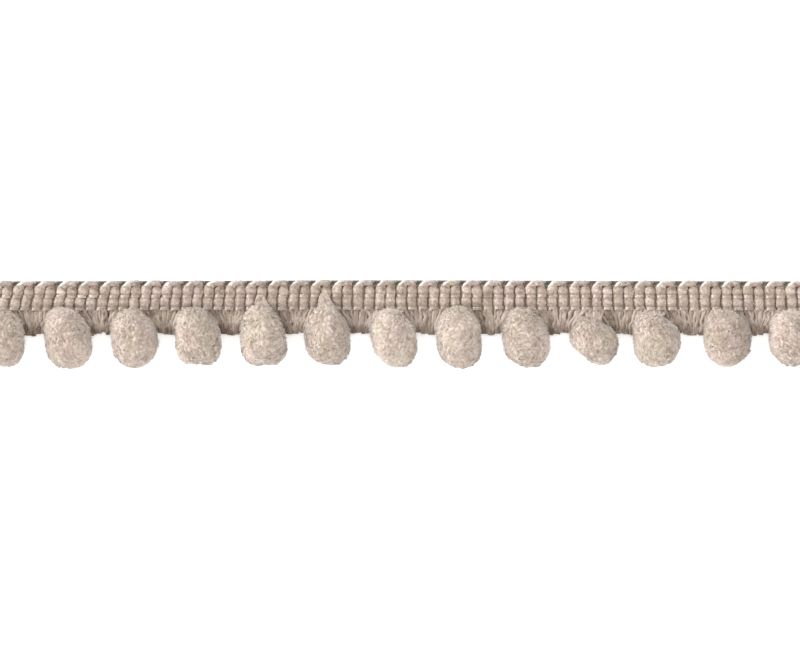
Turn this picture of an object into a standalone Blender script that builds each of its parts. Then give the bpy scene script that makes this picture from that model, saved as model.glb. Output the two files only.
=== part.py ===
"""A cut length of pompom fringe trim, lying on its back on a flat surface.

The trim is a knitted heading of ribs that turn over at its top edge, a skirt of loose weft strands
below it, and a row of trimmed yarn pompoms over the skirt. It is made in metres. X runs along the
trim, +Y points from the pompoms to the heading's top edge, and +Z leaves the face that shows. The
origin is the middle of the trim's box, on the surface that it lies on."""

import math
from collections import namedtuple

import bmesh
import bpy
from mathutils import Vector, noise

MM = 0.001
GAP = 0.3 * MM  # clear space between neighbouring pieces

# Heading. Its weft turns over at the top edge, and each turn makes two ribs.
TURN_COUNT = 40
TURN_PITCH = 4.95 * MM
LENGTH = TURN_COUNT * TURN_PITCH
FLANK_RISE = 0.8  # how far up from gap to crown a rib's flank stands
BOW = 0.12 * MM  # the trim's middle lies this far above a straight line, and its ends as far below
LEAN_LEFT = 0.26  # sideways lean of the ribs at the left end, per unit of height
LEAN_RIGHT = -0.09
LEAN_FADE = 62 * MM  # length over which the left end's lean dies away

# The heading's rows from its top edge down, in millimetres: where each lies, and how high the ribs
# and the gaps between them stand there. An outer gap parts two turns, and an inner one the two ribs
# of a turn. A shoulder is how far the turn's outer flanks are drawn in.
HeadingRow = namedtuple("HeadingRow", "name y crown outer_gap inner_gap shoulder")
HEADING_ROWS = [
    HeadingRow("top edge", 10.12, 1.6, 1.0, 1.6, 0.75),
    HeadingRow("arch", 9.4, 2.4, 0.9, 2.4, 0.3),
    HeadingRow("eye", 8.6, 2.3, 0.8, 0.9, 0.0),
    HeadingRow("upper swell", 7.8, 2.5, 0.7, 0.7, 0.0),
    HeadingRow("upper stitch", 6.65, 2.0, 0.9, 0.9, 0.0),
    HeadingRow("lower swell", 5.3, 2.5, 0.7, 0.7, 0.0),
    HeadingRow("lower stitch", 3.9, 2.0, 0.9, 0.9, 0.0),
    HeadingRow("lower edge", 3.4, 1.6, 0.8, 0.8, 0.0),
]

# The heading's columns across one turn: where each lies as a share of the turn, what it is, the gap
# beside it, and which way a shoulder moves it.
HeadingColumn = namedtuple("HeadingColumn", "share kind gap shoulder")
HEADING_COLUMNS = [
    HeadingColumn(0.0, "gap", "outer", 0),
    HeadingColumn(0.09, "flank", "outer", 1),
    HeadingColumn(0.25, "crown", "outer", 0),
    HeadingColumn(0.41, "flank", "inner", 0),
    HeadingColumn(0.5, "gap", "inner", 0),
    HeadingColumn(0.59, "flank", "inner", 0),
    HeadingColumn(0.75, "crown", "inner", 0),
    HeadingColumn(0.91, "flank", "outer", -1),
]

# Skirt. Loose strands hang from a narrow strip below the heading, between the pompoms.
STRIP_TOP = HEADING_ROWS[-1].y * MM - GAP
STRIP_WIDTH = 0.75 * MM
SKIRT_FOOT = -1.95 * MM
SKIRT_THICKNESS = 1.15 * MM
STRANDS_A_GAP = 8
STRANDS_AT_AN_END = 4
NECK_HALF = 2.6 * MM  # no strand hangs this near a pompom's middle, where the weft goes into it
FOOT_CLEARANCE = 4.35 * MM  # from a pompom's middle to the nearest strand's foot
END_CLEARANCE = 0.2 * MM
STRAND_FILL = 0.82  # a strand's share of its own pitch
STRAND_BEND = 0.45  # share of a strand's sideways run that it makes by half way down
STRAND_TAPER = 0.78  # thickness and width of a strand's foot, as a share of its root's
FOOT_UNEVEN = 0.22 * MM

# Pompoms. The widest part of each lies on one line, and its depth is the same all along the row.
WIDEST_Y = -3.0 * MM
DEPTH = 9.4 * MM
FLAT_SPOT = 0.3 * MM  # how far the underside is pressed flat by the surface
UNDERCUT = 0.6  # how much thinner the underside gets towards the top, over skirt and heading
# Lumps stand out of a pompom by a share of its radius: broad ones, and the tufts of its yarn. A
# higher frequency makes them smaller.
BROAD_LUMP = 0.09
BROAD_FREQUENCY = 1.9
TUFT_LUMP = 0.22
TUFT_FREQUENCY = 5.3
SPHERE_DETAIL = 3

# In millimetres: middle, width, top and bottom, and how far the bottom leans to the right of the
# top. apex draws the top to a point, and full squares off the bottom.
Pompom = namedtuple("Pompom", "x width top bottom lean apex full")
POMPOMS = [
    Pompom(-90.8, 10.1, 3.7, -9.8, 0.0, 0.05, 0.20),
    Pompom(-75.3, 10.3, 3.7, -10.05, 0.2, 0.00, 0.25),
    Pompom(-60.4, 10.1, 3.8, -10.1, 0.9, 0.05, 0.00),
    Pompom(-45.7, 10.0, 3.8, -9.3, 0.9, 0.05, 0.40),
    Pompom(-30.6, 9.9, 5.6, -9.35, 2.2, 0.45, 0.35),
    Pompom(-16.0, 10.3, 6.3, -9.15, 2.0, 0.55, 0.15),
    Pompom(-0.7, 10.1, 3.7, -9.85, 1.4, 0.05, 0.20),
    Pompom(14.3, 10.0, 4.0, -9.85, 1.2, 0.00, 0.30),
    Pompom(29.6, 10.1, 3.2, -9.75, 1.2, 0.00, 0.30),
    Pompom(45.3, 10.3, 1.8, -9.2, 2.4, 0.10, 0.15),
    Pompom(59.7, 10.3, 2.8, -9.85, 1.4, 0.10, 0.20),
    Pompom(75.8, 10.5, 3.2, -9.85, 0.8, 0.00, 0.05),
    Pompom(90.7, 10.3, 3.2, -9.9, 0.8, 0.00, 0.10),
]

# Locks: short tufts that stand out of a pompom's trimmed surface.
LOCKS_A_POMPOM = 15
LOCK_DIRECTIONS = 40  # spread evenly all round, of which the ones on the open side are used
LOCK_LENGTHS = (0.25 * MM, 0.5 * MM)
LOCK_TIP = 0.5  # a tip's share of its foot's size
LOCK_LOWEST_Z = 2.0 * MM
LOCK_HIGHEST_Y = 1.6 * MM

# Colours are linear red, green and blue.
HEADING_COLOUR = (0.45, 0.36, 0.30)
SKIRT_COLOUR = (0.38, 0.29, 0.24)
POMPOM_COLOUR = (0.60, 0.49, 0.41)
YARN_ROUGHNESS = 0.9


def clear_scene():
    for obj in list(bpy.data.objects):
        bpy.data.objects.remove(obj)


def yarn_material(name, colour):
    material = bpy.data.materials.new(name)
    material.use_nodes = True
    shader = material.node_tree.nodes["Principled BSDF"]
    shader.inputs["Base Color"].default_value = (*colour, 1.0)
    shader.inputs["Roughness"].default_value = YARN_ROUGHNESS
    shader.inputs["Metallic"].default_value = 0.0
    return material


def add_object(name, bm, material):
    """Makes an object of a closed bmesh, with its faces turned outwards."""
    bmesh.ops.recalc_face_normals(bm, faces=bm.faces)
    mesh = bpy.data.meshes.new(name)
    bm.to_mesh(mesh)
    bm.free()
    mesh.materials.append(material)
    mesh.shade_smooth()
    mesh.set_sharp_from_angle(angle=math.radians(50))
    obj = bpy.data.objects.new(name, mesh)
    bpy.context.scene.collection.objects.link(obj)
    return obj


def bow(x):
    """How far the trim lies above or below a straight line at x."""
    return BOW * math.cos(2 * math.pi * x / LENGTH)


def lean(x):
    """Sideways lean of the ribs at x, per unit of height: most at the left end."""
    from_left = (x + LENGTH / 2) / LEAN_FADE
    from_middle = x / (LENGTH / 2)
    return LEAN_LEFT * math.exp(-from_left * from_left) + LEAN_RIGHT * max(0.0, from_middle)


def heading_height(row, column):
    """Height of the heading's face, in millimetres, where a row crosses a column."""
    gap = row.outer_gap if column.gap == "outer" else row.inner_gap
    rise = {"gap": 0.0, "flank": FLANK_RISE, "crown": 1.0}[column.kind]
    return gap + rise * (row.crown - gap)


def heading_point(turn, column, row):
    """Place of the heading's face where a row crosses a column of one turn."""
    x = -LENGTH / 2 + (turn + column.share) * TURN_PITCH + column.shoulder * row.shoulder * MM
    y = row.y * MM
    middle = (HEADING_ROWS[0].y + HEADING_ROWS[-1].y) / 2 * MM
    return (x + lean(x) * (y - middle), y + bow(x), heading_height(row, column) * MM)


def make_heading(material):
    """The knitted heading: ribs in relief on its face, and one flat back."""
    bm = bmesh.new()
    places = [(turn, column) for turn in range(TURN_COUNT) for column in HEADING_COLUMNS]
    places.append((TURN_COUNT, HEADING_COLUMNS[0]))
    face = [[bm.verts.new(heading_point(*place, row)) for place in places] for row in HEADING_ROWS]
    for upper, lower in zip(face, face[1:]):
        for i in range(len(places) - 1):
            bm.faces.new((upper[i], lower[i], lower[i + 1], upper[i + 1]))
    step = len(HEADING_COLUMNS)
    back = [
        [bm.verts.new((vert.co.x, vert.co.y, 0.0)) for vert in edge[::step]]
        for edge in (face[0], face[-1])
    ]
    for turn in range(TURN_COUNT):
        ends = slice(turn * step, (turn + 1) * step + 1)
        bm.faces.new([*face[0][ends], back[0][turn + 1], back[0][turn]])
        bm.faces.new([*face[-1][ends], back[1][turn + 1], back[1][turn]])
        bm.faces.new((back[0][turn], back[0][turn + 1], back[1][turn + 1], back[1][turn]))
    for end in (0, -1):
        bm.faces.new([*(edge[end] for edge in face), back[1][end], back[0][end]])
    return add_object("heading", bm, material)


def foot_spans():
    """For each space between pompoms, and at both ends: where the strands' roots and feet begin and
    end along X, and how many strands hang there."""
    middles = [p.x * MM for p in POMPOMS]
    left, right = -LENGTH / 2 + END_CLEARANCE, LENGTH / 2 - END_CLEARANCE
    spans = [
        ((left, middles[0] - NECK_HALF), (left, middles[0] - FOOT_CLEARANCE), STRANDS_AT_AN_END)
    ]
    for one, other in zip(middles, middles[1:]):
        roots = (one + NECK_HALF, other - NECK_HALF)
        feet = (one + FOOT_CLEARANCE, other - FOOT_CLEARANCE)
        spans.append((roots, feet, STRANDS_A_GAP))
    roots = (middles[-1] + NECK_HALF, right)
    spans.append((roots, (middles[-1] + FOOT_CLEARANCE, right), STRANDS_AT_AN_END))
    return spans


def strands():
    """Each strand from left to right: its middle at the root and at the foot, and its half widths."""
    found = []
    for roots, feet, count in foot_spans():
        root_pitch = (roots[1] - roots[0]) / count
        foot_pitch = (feet[1] - feet[0]) / count
        for i in range(count):
            root = roots[0] + (i + 0.5) * root_pitch
            foot = feet[0] + (i + 0.5) * foot_pitch
            root_half, foot_half = root_pitch * STRAND_FILL / 2, foot_pitch * STRAND_FILL / 2
            found.append((root, foot, root_half, foot_half))
    return found


def ring(bm, x, half, y, thickness):
    """Four corners of a strand's section, which stands on the surface, in order round it."""
    corners = ((x - half, 0.0), (x + half, 0.0), (x + half, thickness), (x - half, thickness))
    return [bm.verts.new((corner_x, y, z)) for corner_x, z in corners]


def bridge(bm, one, other):
    """Four faces between two rings."""
    for i in range(4):
        bm.faces.new((one[i], one[(i + 1) % 4], other[(i + 1) % 4], other[i]))


def hang_strand(bm, number, root_ring, root, foot, foot_half, root_half):
    """A four-sided strand from its root in the strip to its foot, resting level on the surface."""
    strip_foot = STRIP_TOP - STRIP_WIDTH
    uneven = FOOT_UNEVEN * noise.noise(Vector((number * 0.7, 3.1, 0.0)))
    foot_y = SKIRT_FOOT + bow(foot) + uneven
    middle_x = root + (foot - root) * STRAND_BEND
    middle_half = (root_half + foot_half) / 2
    middle = ring(bm, middle_x, middle_half, (strip_foot + foot_y) / 2, SKIRT_THICKNESS)
    shoulder_y = foot_y + (strip_foot - foot_y) * 0.12
    shoulder = ring(bm, foot, foot_half, shoulder_y, SKIRT_THICKNESS * 0.95)
    end = ring(bm, foot, foot_half * STRAND_TAPER, foot_y, SKIRT_THICKNESS * STRAND_TAPER)
    for one, other in zip((root_ring, middle, shoulder), (middle, shoulder, end)):
        bridge(bm, one, other)
    bm.faces.new(end)


def make_skirt(material):
    """The skirt: strands that stand apart, with their roots in one narrow strip."""
    bm = bmesh.new()
    upper, lower = [], []
    edges = [(-LENGTH / 2, False)]
    hung = strands()
    for root, _, root_half, _ in hung:
        edges += [(root - root_half, True), (root + root_half, False)]
    edges.append((LENGTH / 2, False))
    for x, _ in edges:
        for side, y in ((upper, STRIP_TOP), (lower, STRIP_TOP - STRIP_WIDTH)):
            side.append([bm.verts.new((x, y + bow(x), z)) for z in (0.0, SKIRT_THICKNESS)])
    number = 0
    for i in range(len(edges) - 1):
        (floor_a, face_a), (floor_b, face_b) = upper[i], upper[i + 1]
        (low_floor_a, low_face_a), (low_floor_b, low_face_b) = lower[i], lower[i + 1]
        bm.faces.new((floor_a, floor_b, face_b, face_a))
        bm.faces.new((face_a, face_b, low_face_b, low_face_a))
        bm.faces.new((floor_a, floor_b, low_floor_b, low_floor_a))
        root_ring = (low_floor_a, low_floor_b, low_face_b, low_face_a)
        if edges[i][1]:
            root, foot, root_half, foot_half = hung[number]
            hang_strand(bm, number, root_ring, root, foot, foot_half, root_half)
            number += 1
        else:
            bm.faces.new(root_ring)
    for end in (0, -1):
        bm.faces.new((*upper[end], *reversed(lower[end])))
    return add_object("skirt", bm, material)


def lumps(direction, number):
    """How far a pompom's surface stands out or in, as a share of its radius."""
    aside = Vector((number * 5.3, 0.0, 0.0))
    broad = BROAD_LUMP * noise.noise(direction * BROAD_FREQUENCY + aside)
    tuft = TUFT_LUMP * noise.noise(direction * TUFT_FREQUENCY - aside)
    return 1 + broad + tuft


def pompom_point(direction, p, number):
    """Where the surface of a pompom lies in one direction from its middle."""
    u, v, w = direction
    ring_radius = math.sqrt(max(1e-9, 1 - v * v))
    shape = 1 - p.apex * v * v if v > 0 else ring_radius ** -p.full
    shape = min(shape, 1 / ring_radius)
    lump = lumps(direction, number)
    reach = (p.top * MM - WIDEST_Y) if v > 0 else (WIDEST_Y - p.bottom * MM)
    x = p.x * MM - p.lean * MM * v / 2 + u * shape * lump * p.width * MM / 2
    y = WIDEST_Y + v * reach
    thinner = 1 - UNDERCUT * v * v if v > 0 and w < 0 else 1
    z = DEPTH / 2 * (1 + w * shape * lump * thinner) - FLAT_SPOT
    return Vector((x, y, max(z, 0.0)))


def lock_directions(number):
    """Directions spread evenly over a ball by the golden angle, turned a little for each pompom."""
    golden = math.pi * (3 - math.sqrt(5))
    for i in range(LOCK_DIRECTIONS):
        v = 1 - 2 * (i + 0.5) / LOCK_DIRECTIONS
        across = math.sqrt(1 - v * v)
        turn = i * golden + number
        yield Vector((across * math.cos(turn), v, across * math.sin(turn)))


def raise_locks(bm, number):
    """Draws short three-sided locks out of a pompom's open faces."""
    bm.normal_update()
    open_faces = [
        face
        for face in bm.faces
        if face.calc_center_median().z > LOCK_LOWEST_Z and face.calc_center_median().y < LOCK_HIGHEST_Y
    ]
    chosen = []
    for direction in lock_directions(number):
        face = max(open_faces, key=lambda f: f.normal.dot(direction))
        apart = all(set(face.verts).isdisjoint(other.verts) for other in chosen)
        if apart and face.normal.dot(direction) > 0.9 and len(chosen) < LOCKS_A_POMPOM:
            chosen.append(face)
    drawn = bmesh.ops.extrude_discrete_faces(bm, faces=chosen)["faces"]
    shortest, longest = LOCK_LENGTHS
    for i, face in enumerate(drawn):
        foot = face.calc_center_median()
        length = shortest + (longest - shortest) * (i * 7 % LOCKS_A_POMPOM) / LOCKS_A_POMPOM
        tip = foot + face.normal * length
        for vert in face.verts:
            vert.co = tip + (vert.co - foot) * LOCK_TIP


def make_pompom(number, p, material):
    """One trimmed pompom: a lumpy ball, longer than it is wide, with locks standing out of it."""
    bm = bmesh.new()
    bmesh.ops.create_icosphere(bm, subdivisions=SPHERE_DETAIL, radius=1.0)
    for vert in bm.verts:
        vert.co = pompom_point(vert.co.normalized(), p, number)
    raise_locks(bm, number)
    return add_object(f"pompom_{number:02d}", bm, material)


def main():
    clear_scene()
    make_heading(yarn_material("heading_yarn", HEADING_COLOUR))
    make_skirt(yarn_material("skirt_yarn", SKIRT_COLOUR))
    pompom_yarn = yarn_material("pompom_yarn", POMPOM_COLOUR)
    for number, p in enumerate(POMPOMS, start=1):
        make_pompom(number, p, pompom_yarn)


main()
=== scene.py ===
"""The looks of a cut length of pompom fringe trim, lying on its back with its face up.

Every length below is in millimetres until a mesh is made. X runs along the trim, +Y points from the
pompoms to the heading's top edge, and +Z leaves the face that shows."""

import math
from collections import namedtuple

import bmesh
import bpy
import numpy as np
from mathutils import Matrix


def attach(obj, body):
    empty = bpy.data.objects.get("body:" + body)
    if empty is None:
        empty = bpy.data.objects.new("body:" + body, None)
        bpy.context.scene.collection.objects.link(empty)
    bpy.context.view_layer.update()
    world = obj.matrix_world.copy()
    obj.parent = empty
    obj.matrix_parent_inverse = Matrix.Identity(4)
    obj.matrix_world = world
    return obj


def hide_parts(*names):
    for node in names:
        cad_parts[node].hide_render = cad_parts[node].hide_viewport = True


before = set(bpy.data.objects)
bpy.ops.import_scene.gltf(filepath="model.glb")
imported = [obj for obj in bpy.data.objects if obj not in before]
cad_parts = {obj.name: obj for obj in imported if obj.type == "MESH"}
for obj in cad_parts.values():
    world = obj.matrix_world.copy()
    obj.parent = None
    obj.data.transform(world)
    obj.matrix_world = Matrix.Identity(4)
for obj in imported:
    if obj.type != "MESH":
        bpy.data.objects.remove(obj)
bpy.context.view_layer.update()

MM = 0.001
FULL_TURN = 2 * math.pi
UP = np.array((0.0, 0.0, 1.0))
UP_THE_TRIM = np.array((0.0, 1.0, 0.0))

# The trim as a whole
TURN_COUNT = 40
TURN_PITCH = 4.95
LENGTH = TURN_COUNT * TURN_PITCH
RIB_PITCH = TURN_PITCH / 2
BOW = 0.12  # the trim's middle lies this far above a straight line, and its ends as far below
LEAN_LEFT = 0.23  # how far right the ribs at the left end run for each step up
LEAN_FADE = 62.0  # the length over which that dies away
LEAN_RIGHT = -0.09  # the same at the right end, from nothing in the trim's middle
LEAN_MIDDLE = 6.76  # the ribs lean about this height

# Places along the heading, and how far the ribs there have been pulled from their even spacing
PULLED = [
    (-99.0, 0.35),
    (-77.0, 0.65),
    (-62.0, 0.58),
    (-50.0, 0.12),
    (-21.0, -0.25),
    (38.0, -0.12),
    (46.0, 0.12),
    (57.0, -0.06),
    (78.0, 0.25),
    (99.0, 0.25),
]

# How a size or a tone changes along a line. A Band is strongest on its middle and fades away on both
# sides. A Slope rises from nothing at its start to its full amount after its length, which is
# negative where it rises the other way.
Band = namedtuple("Band", "middle reach amount")
Slope = namedtuple("Slope", "start length amount")

# Heading: thick soft yarns that turn over at the top edge. Half widths are across the yarn.
RIB_FOOT = 3.15
TURN_START = 7.9
WAISTS = (6.5, 3.74)  # the middles of the two lengths of rib that the stitches draw in
WAIST_REACH = 0.62  # half of each length
WAIST_STEEPNESS = 6
PILLOWS = (7.75, 5.2)  # the middles of the two fuller lengths between and beyond them
PILLOW_REACH = 0.6
RIB_HALF_WIDTH = 1.13
WAIST_HALF_WIDTH = 0.95
TURN_HALF_WIDTH = 0.67
PILLOW_WIDER = 0.06
RIB_UNDERSIDE = 0.35
RIB_TOP = 2.25
WAIST_TOP = 1.15
TURN_TOP = 1.98
PILLOW_HIGHER = 0.28
TURNING = Slope(8.55, 0.85, 1.0)  # the yarn goes from a rib's size to a turn's
THROAT = Band(8.66, 0.2, 0.12)  # and is drawn in this much where it does
RIB_DRAWN_IN = Slope(6.3, -0.6, 0.06)  # off each rib's half width, all of it from the right side
RIGHT_DRAWN_IN = Slope(7.4, -0.6, 0.05)  # and as well off the right rib of a turn
RIB_STEPS = 40
RIB_RINGS = 96
RIB_SIDES = 20
RIB_PEAK = 0.85  # 1 is a round yarn, and less is flatter on top
RIB_UNEVEN = 0.05  # in width and in height
RIB_WANDER = 0.08
RIB_LUMPS = 0.075
RIB_LUMP_SIZE = 0.65
LUMP_WAVES = 16
RIB_PLIES = 5
RIB_PLY_PITCH = 4.0
RIB_PLY_DEPTH = 0.035
TURN_SHAKE = 0.05  # how unevenly the turns are spaced

# The right rib's shoulder is small, so that a dark eye opens between it and the left rib.
SHOULDER = Band(8.65, 0.5, 1.0)
SHOULDER_NARROWER = 0.45
SHOULDER_LOWER = 0.35

# Tones along the ribs
RIB_TONE = 0.38
TURN_UNEVEN = 0.02
RIB_MOTTLE = 0.07
# Painted light: the pillows' crowns and the lumps that stand higher are lighter.
LUMP_PAINTED_LIGHT = 0.08
PILLOW_PAINTED_LIGHT = 0.07
# Painted shade on the ribs: the yarn is darker in the waists, low on its flanks, in the creases, on the
# right rib's shoulder and towards the top edge, where shade falls.
UPPER_WAIST_PAINTED_SHADE = 0.12
LOWER_WAIST_PAINTED_SHADE = 0.02
FLANK_PAINTED_SHADE = Slope(1.6, -1.0, 0.1)  # how much darker the yarn is, by height above the surface
RIB_EDGE_PAINTED_SHADE = Slope(9.2, 0.6, 0.06)  # the rest are how much darker it is up the heading
CREASE_PAINTED_SHADE = [Band(8.35, 0.35, 0.2), Band(7.15, 0.18, 0.14), Band(5.97, 0.24, 0.34)]
RIGHT_CREASE_PAINTED_SHADE = [Band(SHOULDER.middle, SHOULDER.reach, 0.35), Band(8.2, 0.4, 0.18)]

# The line that the yarn follows round a turn: across from the turn's middle, and up the heading
TURN = [
    (-1.24, 7.9),
    (-1.0, 8.35),
    (-0.9, 8.85),
    (-0.45, 9.31),
    (0.25, 9.4),
    (0.95, 9.33),
    (1.5, 9.02),
    (1.45, 8.5),
    (1.24, 7.9),
]

# The edge thread slants over each turn's left shoulder and then lies along the top edge. Its line is
# across from the turn's middle, up the heading, and above the surface.
EDGE_RADIUS = 0.34
EDGE_HEIGHT = 0.24
EDGE_RINGS = 24
EDGE_SIDES = 8
EDGE_SHAKE = 0.05
EDGE_TONE = 0.5
EDGE_UNEVEN = 0.05
# Painted highlight where the thread slants over the lit left shoulder, and painted shade towards its
# end along the top edge.
EDGE_PAINTED_HIGHLIGHT = Band(0.36, 0.2, 0.2)  # by share of the thread's length, and so is EDGE_END_PAINTED_SHADE
EDGE_END_PAINTED_SHADE = Slope(0.75, 0.25, 0.3)
EDGE = [
    (-2.15, 8.1, 0.7),
    (-1.95, 8.45, 1.4),
    (-1.6, 8.9, 1.9),
    (-1.2, 9.35, 2.0),
    (-0.85, 9.75, 1.9),
    (-0.2, 9.85, 1.65),
    (0.7, 9.84, 1.35),
    (1.5, 9.78, 1.05),
    (1.95, 9.68, 0.75),
    (2.2, 9.55, 0.5),
]

# Stitches: thin chain loops that bind each rib down in two rows. The Bands are by how far over the
# rib from a stitch's head, as a share.
STITCH_ROWS = (6.5, 3.67)
STITCH_RADIUS = 0.19
STITCH_REACH = 0.95
STITCH_HEAD = 0.18
STITCH_TAIL = 0.16
STITCH_CROWDING = 2.2  # how closely a stitch's rings crowd towards its head
STITCH_BLUNTNESS = 5.0  # how quickly its two sides part there
STITCH_PLY_PITCH = 0.9
STITCH_PLY_DEPTH = 0.08
STITCH_SHAKE = 0.05
STITCH_UNEVEN = 0.04
STITCH_RINGS = 26
STITCH_SIDES = 6
STITCH_TONE = 0.43
# Painted highlight on each stitch's round head, which faces the light on the left, and a little on its
# tail; and painted light and shade by height, its low points darker.
BEAD = Band(0.1, 0.12, 1.0)
BEAD_PAINTED_HIGHLIGHT = (0.45, 0.75)  # from the least to the most
TAIL_PAINTED_LIGHT = Band(0.95, 0.12, 0.06)
HEIGHT_PAINTED_SHADING = 0.2  # for each step that a point is higher than STITCH_HEIGHT
STITCH_HEIGHT = 1.9

# How high a stitch lies, by its share of the way over the rib
STITCH_RISE = [
    (0.0, 0.9),
    (0.1, 1.75),
    (0.3, 2.05),
    (0.8, 2.0),
    (1.0, 1.7),
]

# Ground: the flat knitted back that the ribs lie on, as places up the heading and its thickness
GROUND = [
    (1.0, 0.15),
    (2.2, 0.25),
    (2.9, 0.45),
    (3.5, 1.3),
    (4.5, 1.3),
    (5.2, 1.6),
    (6.0, 1.3),
    (8.6, 1.3),
    (9.2, 0.6),
    (9.8, 0.5),
    (10.06, 0.3),
]
GROUND_ROWS = 33
GROUND_STITCHED = 0.1  # how much higher it is under a row of stitches
GROUND_CLEARANCE = 0.02
GROUND_RIM_LIFT = 0.08
GROUND_TONE = 0.6
GROUND_WAIST_LIGHTER = 0.1
# Painted shade on the ground: darker under the turns, at the top edge and towards its lower edge.
GROUND_PAINTED_SHADE = [Slope(7.9, 0.5, 0.3), Slope(9.0, 0.3, 0.2), Slope(3.4, -0.5, 0.3)]

# Skirt: hairpins of loose yarn, and the yarns that run into each pompom
SKIRT_ROOT = 3.4
SKIRT_FOOT = -2.02
SKIRT_YARN_RADIUS = 0.34
SKIRT_PLACES = (-0.8, -0.28, 0.28, 0.8)  # of the strands that leave each rib
SKIRT_RINGS = 15
SKIRT_SIDES = 6
EARLY_SHARE = 0.7  # of a strand's sideways run, which it has made by EARLY_END of the way down
EARLY_END = 0.625
FOOT_WAVE = 0.25  # how far the feet rise and fall along the trim
FOOT_WAVE_RATE = 0.53  # and how quickly, in radians a millimetre
FOOT_SHAKE = 0.06
FOOT_STRAY = 0.12
SKIRT_WANDER = 0.2
SKIRT_RIPPLE = 0.13
SKIRT_MOTTLE = 0.15
SKIRT_UNEVEN = 0.1  # in thickness
SKIRT_PLY_PITCH = 1.0
SKIRT_PLY_DEPTH = 0.1
# Painted shade on the skirt: darker towards the feet, where the strands turn away from the light, and
# near the roots under the lower stitches.
SKIRT_PAINTED_SHADE = [Slope(0.5, -2.1, 0.55), Slope(1.9, 1.2, 0.13)]
HAIRPIN_UNEVEN = 0.11  # in tone
FOOT_CLEARANCE = 4.2
END_MARGIN = 0.2
NECK_SHARE = 0.72  # how much of a strand's length there is behind a pompom's neck

# The skirt's two layers: how far right its strands are moved, as a share of their spacing, how high
# their roots and feet lie, and how light they are
Layer = namedtuple("Layer", "shift root_z foot_z tone")
# The lower layer's darker tone is painted shade under the upper layer.
LAYERS = [Layer(0.0, 1.5, 0.85, 0.78), Layer(0.5, 1.1, 0.45, 0.58)]

# Strands against a pompom's left side stand proud and are painted lighter, as lit, and those against
# its right side lie deep and are painted darker, as the pompom's cast shadow. These are by how far a
# hairpin's feet are to the right of the pompom's middle.
PROUD = Band(-5.0, 1.2, 0.9)
DEEP = Band(5.0, 1.5, 0.3)
LIFT_UNEVEN = 0.2
PROUD_PAINTED_LIGHT = 0.1
DEEP_PAINTED_SHADOW = 0.28

# Neck: the yarns that are gathered into a pompom's top
NECK_HALF = 1.9
NECK_YARNS = 7
NECK_RADIUS = 1.1 * SKIRT_YARN_RADIUS
NECK_TOP = 3.2
NECK_WANDER = 0.25
NECK_TONE = 0.7
NECK_UNEVEN = 0.1
NECK_MOTTLE = 0.15
NECK_PLY_DEPTH = 0.16
TALL = 4.2  # a pompom whose top is above this has its neck over the heading

# The line of a neck: how far it is left of the pompom's middle, how far its outer yarns are from its
# own middle, how far it is above a height, and how far above the surface. A tall pompom's neck is
# measured from the pompom's top, and the others start from the strands' roots and end at the top.
Gather = namedtuple("Gather", "left spread above z")
NECK_START = [Gather(0.0, 2.1, 0.3, 1.2), Gather(0.0, 1.9, -0.6, 1.6)]
NECK_END = [Gather(0.0, 1.1, -0.6, 2.6), Gather(0.0, 0.7, -2.4, 3.6)]
TALL_NECK = [
    Gather(0.8, 0.4, 2.0, 1.9),
    Gather(0.7, 0.9, 1.0, 2.55),
    Gather(0.4, 1.4, -0.6, 3.2),
    Gather(0.0, 1.9, -2.4, 3.3),
]

# Pompoms. The widest part of each lies on one line.
WIDEST_Y = -3.0
DEPTH = 9.4
POMPOM_FULLNESS = 0.8  # 1 is an egg, and less is squarer
FLAT_SPOT = 0.3
UNDERCUT = 0.6
BULGE = 0.2
BULGE_WAVES = 6
SWEEP = 2.6  # how often the bulges, and the way the yarn ends are swept, change over a pompom
SWEEP_WAVES = 7
CORE_DETAIL = 6
LOCKS = 660
LOCK_SHAKE = 1.2
LOCK_STRETCH = 1.7  # how much longer a lock of yarn ends is than it is wide
LOCK_HEIGHT = 0.36
LOCK_LEVEL = 0.6  # the share of that height at which the pompom's smooth surface lies
LOCK_UNEVEN = 0.1
LOCK_TONES = 0.2
# Painted light and shade on the locks: their ridges are lighter and the hollows between them darker.
RIDGE_PAINTED_SHADING = 0.2
RIDGE_EVEN = 0.65  # as near a lock's middle line as this, a ridge is neither lighter nor darker
FOLLOW = 0.8  # how far the fibres of a lock follow its flow
BATCH = 1000  # places whose locks are found at once

# The yarn runs out from a pompom's neck, the more so near its top, down to FROM_NECK_END.
FROM_NECK = 1.5
FROM_NECK_AT_TOP = 3.0
FROM_NECK_END = -0.4

# Yarn ends: bent spikes over the whole of a pompom, and a fine straight fuzz. joints is how many
# rings of points each has before its tip.
ROOT_DEPTH = 0.12
END_SHAKE = 1.5
RISE_LEAN = 0.35  # how far a yarn end leans along its lock's flow before it bends
RISE_LOOSE = 0.25
LAID_LOOSE = 0.3
ELBOW = 0.35  # the share of its length at which it bends
CORNERS = (0.5, 2.6, 4.7)  # the directions of its three sides' corners round it
END_UNEVEN = 0.09
# Painted shade: each yarn end is darker at its root, down among the others.
ROOT_PAINTED_SHADE = 0.07
CORE_LIE = 0.3  # how far the shading follows the pompom's smooth surface, on its core and its ends
END_LIE = 0.75
Ends = namedtuple("Ends", "count shortest longest radius upright tone joints")
CUT_ENDS = Ends(1900, 0.35, 0.8, 0.16, 0.2, 0.03, 2)
FUZZ = Ends(2000, 0.4, 0.9, 0.05, 1.2, 0.12, 1)

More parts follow.
